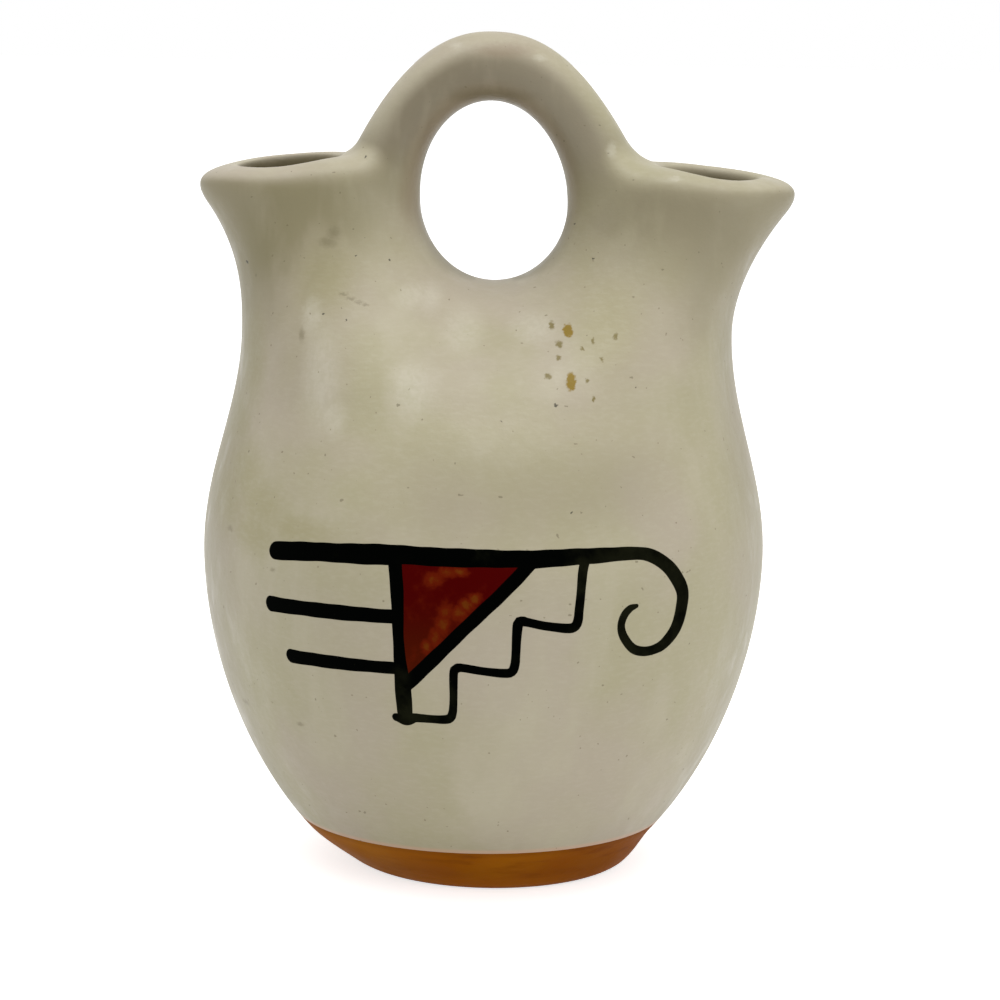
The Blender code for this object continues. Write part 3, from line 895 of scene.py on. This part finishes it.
def stroke(points, number):
    """Brush stroke: a flat film along a path of (along, up, width) in mm, round and wavy at its edge."""
    path = eased_path(points, 40 * len(points)) * MM
    steps = np.diff(path[:, :2], axis=0)
    length = np.concatenate([[0], np.cumsum(np.hypot(*steps.T))])
    ends = path[[0, -1], 2] / 2
    turn = np.linspace(0, np.pi / 2, 9)
    body = np.linspace(0, length[-1], max(int(length[-1] / STROKE_STEP), 12))
    before = -ends[0] * np.cos(turn[:-1])
    after = length[-1] + ends[1] * np.sin(turn[1:])
    run = np.concatenate([before, body, after])
    bunch = np.clip(run, 0, length[-1])
    along, up, width = (np.interp(bunch, length, part) for part in path.T)
    heading = np.stack([np.interp(bunch, length, np.gradient(part, length)) for part in path.T[:2]])
    heading /= np.hypot(*heading)
    beyond = run - bunch
    along = along + heading[0] * beyond
    up = up + heading[1] * beyond
    round_off = np.sqrt(np.clip(1 - (beyond / (width / 2)) ** 2, 0, 1))
    share = np.linspace(-1, 1, ACROSS)
    first = EDGE_WAVE * np.sin(310 * run + 1.7 * number)
    first += EDGE_RIPPLE * np.sin(790 * run + 2.9 * number)
    second = EDGE_WAVE * np.sin(270 * run + 2.3 * number)
    second += EDGE_RIPPLE * np.sin(930 * run + 0.7 * number)
    wave = 1 + np.where(share[None, :] < 0, first[:, None], second[:, None])
    offset = (width / 2 * round_off)[:, None] * share * wave
    across_u = along[:, None] - heading[1][:, None] * offset
    across_z = up[:, None] + heading[0][:, None] * offset
    place = wall_point(across_u, across_z)
    normal = wall_normal(across_u, across_z)
    top = PAINT_LIFT + PAINT_STEP * number
    full = np.sqrt(round_off)[:, None]
    outer = place + normal * (full * top * (1 - share**6))[..., None]
    under = (place - normal * (full * PAINT_SINK + 0 * share)[..., None])[:, ::-1]
    rings = np.concatenate([outer, under], axis=1)
    faces = ring_faces(len(rings), rings.shape[1])[:, ::-1]
    normals = np.concatenate([normal, -normal[:, ::-1]], axis=1)
    return rings.reshape(-1, 3), faces, normals.reshape(-1, 3)


def paint_colour(place):
    """Near-black paint with a green-brown cast where the brush ran thin."""
    dry = place.axis("X").span(0.008, 0.034) * 0.22 + place.axis("Z").span(0.064, 0.050) * 0.16
    thin = place.noise(130, 4, 0.6) * 0.6 + 0.2 + dry
    return thin.span(0.55, 0.80).blend(PAINT_BLACK, PAINT_THIN)


def paint_roughness(place):
    return place.noise(150, 3) * 0.2 + 0.45


black_paint = shade("black_paint", paint_colour, paint_roughness, PAINT_GLOSS)
strokes = [
    [
        (-54.2, 85.0, 4.2), (-40, 86.4, 4.4), (-20, 87.4, 4.6), (5, 87.3, 4.2), (24, 87.6, 3.6),
        (36, 87.6, 3.0), (42, 86.4, 3.2), (47, 83.0, 3.6), (50.6, 78.0, 3.9), (50.8, 73.5, 4.0),
        (49.2, 68.6, 3.7), (46.3, 65.6, 3.0), (43.4, 64.4, 2.5), (40.2, 64.2, 2.3), (36.9, 65.3, 2.3),
        (34.2, 68.3, 2.2), (33.3, 70.9, 2.1), (33.9, 73.3, 2.1), (35.4, 74.9, 1.8), (37.2, 75.4, 1.0),
    ],
    [(-55.2, 72.3, 3.7), (-40, 72.9, 3.6), (-20, 73.4, 3.4)],
    [(-49.6, 60.5, 3.5), (-36, 60.8, 3.2), (-20, 61.1, 3.0)],
    [(-20.6, 86, 3.6), (-19.6, 78, 3.3), (-19.4, 67, 3.0), (-18.9, 58, 3.9), (-18.8, 50.5, 4.1)],
    [(-21.2, 48.9, 2.0), (-18.6, 48.7, 3.2), (-15.8, 49.3, 2.0)],
    [(11.0, 86.6, 3.4), (-3, 72.5, 3.3), (-17.0, 58.2, 3.4), (-18.3, 56.9, 2.2)],
    [
        (24.2, 87.2, 2.5), (23.2, 83.6, 2.3), (22.5, 76, 2.2), (22.3, 73.2, 2.4), (21.6, 71.7, 2.5),
        (19.8, 71.3, 2.3), (15, 72.0, 2.1), (10.4, 73.0, 2.1), (9.0, 73.2, 2.5), (8.1, 72.3, 2.4),
        (7.9, 66, 2.1), (7.7, 62.8, 2.3), (7.0, 61.2, 2.4), (5.2, 60.9, 2.2), (0, 61.4, 2.0),
        (-4.2, 62.0, 2.0), (-5.7, 61.9, 2.3), (-6.5, 60.8, 2.1), (-6.6, 55, 2.0), (-6.9, 51.0, 2.1),
        (-7.6, 49.5, 2.3), (-9.2, 49.1, 2.2), (-12, 49.1, 2.0), (-16.5, 49.1, 2.2),
    ],
]
films = [stroke(points, number) for number, points in enumerate(strokes)]
starts = np.cumsum([0] + [len(film[0]) for film in films])
new_piece(
    "black_paint",
    black_paint,
    np.concatenate([film[0] for film in films]),
    np.concatenate([film[1] + start for film, start in zip(films, starts)]),
    np.concatenate([film[2] for film in films]),
)

# The triangle beside the upright bar is filled with dark red slip, brushed on unevenly so that
# orange shows through. The fill reaches under the black strokes that frame it.
FILL_LEFT = -0.0197
FILL_RIGHT = 0.0095
FILL_SLANT = 0.0018
FILL_TOP = 0.0865
FILL_LOW = 0.0587
FILL_LIFT = 0.00005
FILL_STEPS = 40
RED_TOP = (0.058, 0.0004, 0.0003, 1)
RED_LOW = (0.062, 0.0075, 0.0006, 1)
RED_BRIGHT = (0.110, 0.0085, 0.0012, 1)
RED_ORANGE = (0.128, 0.0280, 0.0025, 1)
RED_GLOSS = 0.01
BLOTCHES = [
    (-10.8, 82.8, 2.4, 1.9), (-8.2, 84.2, 2.6, 1.2), (-5.4, 84.6, 2.2, 1.0), (-1.9, 78.5, 1.6, 1.3),
    (-3.6, 77.0, 1.6, 1.6), (-5.4, 75.0, 1.8, 1.6), (-8.6, 75.6, 1.8, 2.6), (-9.2, 72.2, 1.8, 2.8),
    (-10.6, 69.2, 1.6, 2.6), (-12.6, 66.6, 1.2, 1.9),
]


def red_colour(place):
    """Dark red slip over orange, which shows through in soft blotches."""
    patch = spots(wandered(place), BLOTCHES, 1.7, 0.1) * 0.62
    patch = patch + (place.noise(230, 4, 0.6) - 0.5) * 1.1
    red = (place.axis("Z").span(0.080, 0.062) * 0.7).blend(RED_TOP, RED_LOW)
    red = patch.span(0.0, 0.50).blend(red, RED_BRIGHT)
    return patch.span(0.46, 0.78).blend(red, RED_ORANGE)


def red_roughness(place):
    return place.noise(150, 3) * 0.2 + 0.40


red_paint = shade("red_paint", red_colour, red_roughness, RED_GLOSS)
rows = np.linspace(0, 1, FILL_STEPS)[:, None]
columns = np.linspace(0, 1, FILL_STEPS)[None, :]
left = FILL_LEFT + FILL_SLANT * rows
right = FILL_RIGHT + (left[-1] - FILL_RIGHT) * rows
along = left + (right - left) * columns
up = FILL_TOP + (FILL_LOW - FILL_TOP) * rows + 0 * columns
place = wall_point(along, up)
normal = wall_normal(along, up)
over = place + normal * FILL_LIFT
under = place - normal * PAINT_SINK
rings = np.concatenate([over, under[:, ::-1]], axis=1)
new_piece(
    "red_paint",
    red_paint,
    rings,
    ring_faces(len(rings), rings.shape[1])[:, ::-1],
    np.concatenate([normal, -normal[:, ::-1]], axis=1),
)

# The studio: a white sweep under and behind the vase, soft light from above and in front, and the
# camera a little above the rims, held with a slight tilt.
SWEEP = 4.0
FLOOR_GREY = (0.87, 0.87, 0.87, 1)
FLOOR_GLOW = (0.70, 0.70, 0.70, 1)
SKY_LIGHT = 0.68
AIM = (0, 0, 0.1)
CAMERA_ROLL = math.radians(0.95)


def seen_rays(start):
    """1 for rays that show the background: straight from the camera, mirrored or let through."""
    seen = 0.0
    for kind in ("Camera", "Glossy", "Transmission"):
        ray = start.add("ShaderNodeLightPath", {}, {}, f"Is {kind} Ray")
        seen = start.math("MAXIMUM", ray, seen)
    return seen


floor_paint = bpy.data.materials.new("floor")
floor_paint.use_nodes = True
shader = floor_paint.node_tree.nodes["Principled BSDF"]
shader.inputs["Base Color"].default_value = FLOOR_GREY
shader.inputs["Roughness"].default_value = 0.9
shader.inputs["Specular IOR Level"].default_value = 0.0
shader.inputs["Emission Strength"].default_value = 1.0
start = Socket(floor_paint.node_tree)
glow = seen_rays(start).blend((0, 0, 0, 1), FLOOR_GLOW)
floor_paint.node_tree.links.new(glow.out, shader.inputs["Emission Color"])
corners = [(-SWEEP, -SWEEP, 0), (SWEEP, -SWEEP, 0), (SWEEP, SWEEP, 0), (-SWEEP, SWEEP, 0)]
floor_mesh = bpy.data.meshes.new("floor")
floor_mesh.from_pydata(corners, [], [(0, 1, 2, 3)])
floor_mesh.materials.append(floor_paint)
floor = bpy.data.objects.new("floor", floor_mesh)
bpy.context.collection.objects.link(floor)


def area_light(name, place, aim, size, power):
    """Soft light with two side lengths at a place, turned to face its aim."""
    lamp = bpy.data.lights.new(name, "AREA")
    lamp.shape = "RECTANGLE"
    lamp.size, lamp.size_y = size
    lamp.energy = power
    light = bpy.data.objects.new(name, lamp)
    light.location = place
    light.rotation_euler = (Vector(aim) - Vector(place)).to_track_quat("-Z", "Y").to_euler()
    bpy.context.collection.objects.link(light)


area_light("top_light", (0.0, -0.12, 1.25), AIM, (1.7, 0.6), 6.9)
area_light("lamp", (0.02, -0.20, 1.20), AIM, (0.20, 0.20), 1.1)
area_light("front_light", (1.3, -1.1, 0.50), AIM, (1.2, 0.9), 5.1)

world = bpy.data.worlds.new("studio")
world.use_nodes = True
sky = Socket(world.node_tree)
background = world.node_tree.nodes["Background"]
background.inputs["Color"].default_value = (1, 1, 1, 1)
strength = seen_rays(sky) * (1 - SKY_LIGHT) + SKY_LIGHT
world.node_tree.links.new(strength.out, background.inputs["Strength"])
bpy.context.scene.world = world
bpy.context.scene.view_settings.view_transform = "Standard"

eye = Vector((0.0, -0.850, 0.2371))
looks_at = Vector((0.00385, 0.0, 0.0894))
camera_data = bpy.data.cameras.new("camera")
camera_data.lens = 126.6
camera_data.sensor_width = 36.0
camera = bpy.data.objects.new("camera", camera_data)
roll = Matrix.Rotation(CAMERA_ROLL, 4, "Z")
turned_to = (looks_at - eye).to_track_quat("-Z", "Y").to_matrix().to_4x4()
camera.matrix_world = Matrix.Translation(eye) @ turned_to @ roll
bpy.context.collection.objects.link(camera)
bpy.context.scene.camera = camera
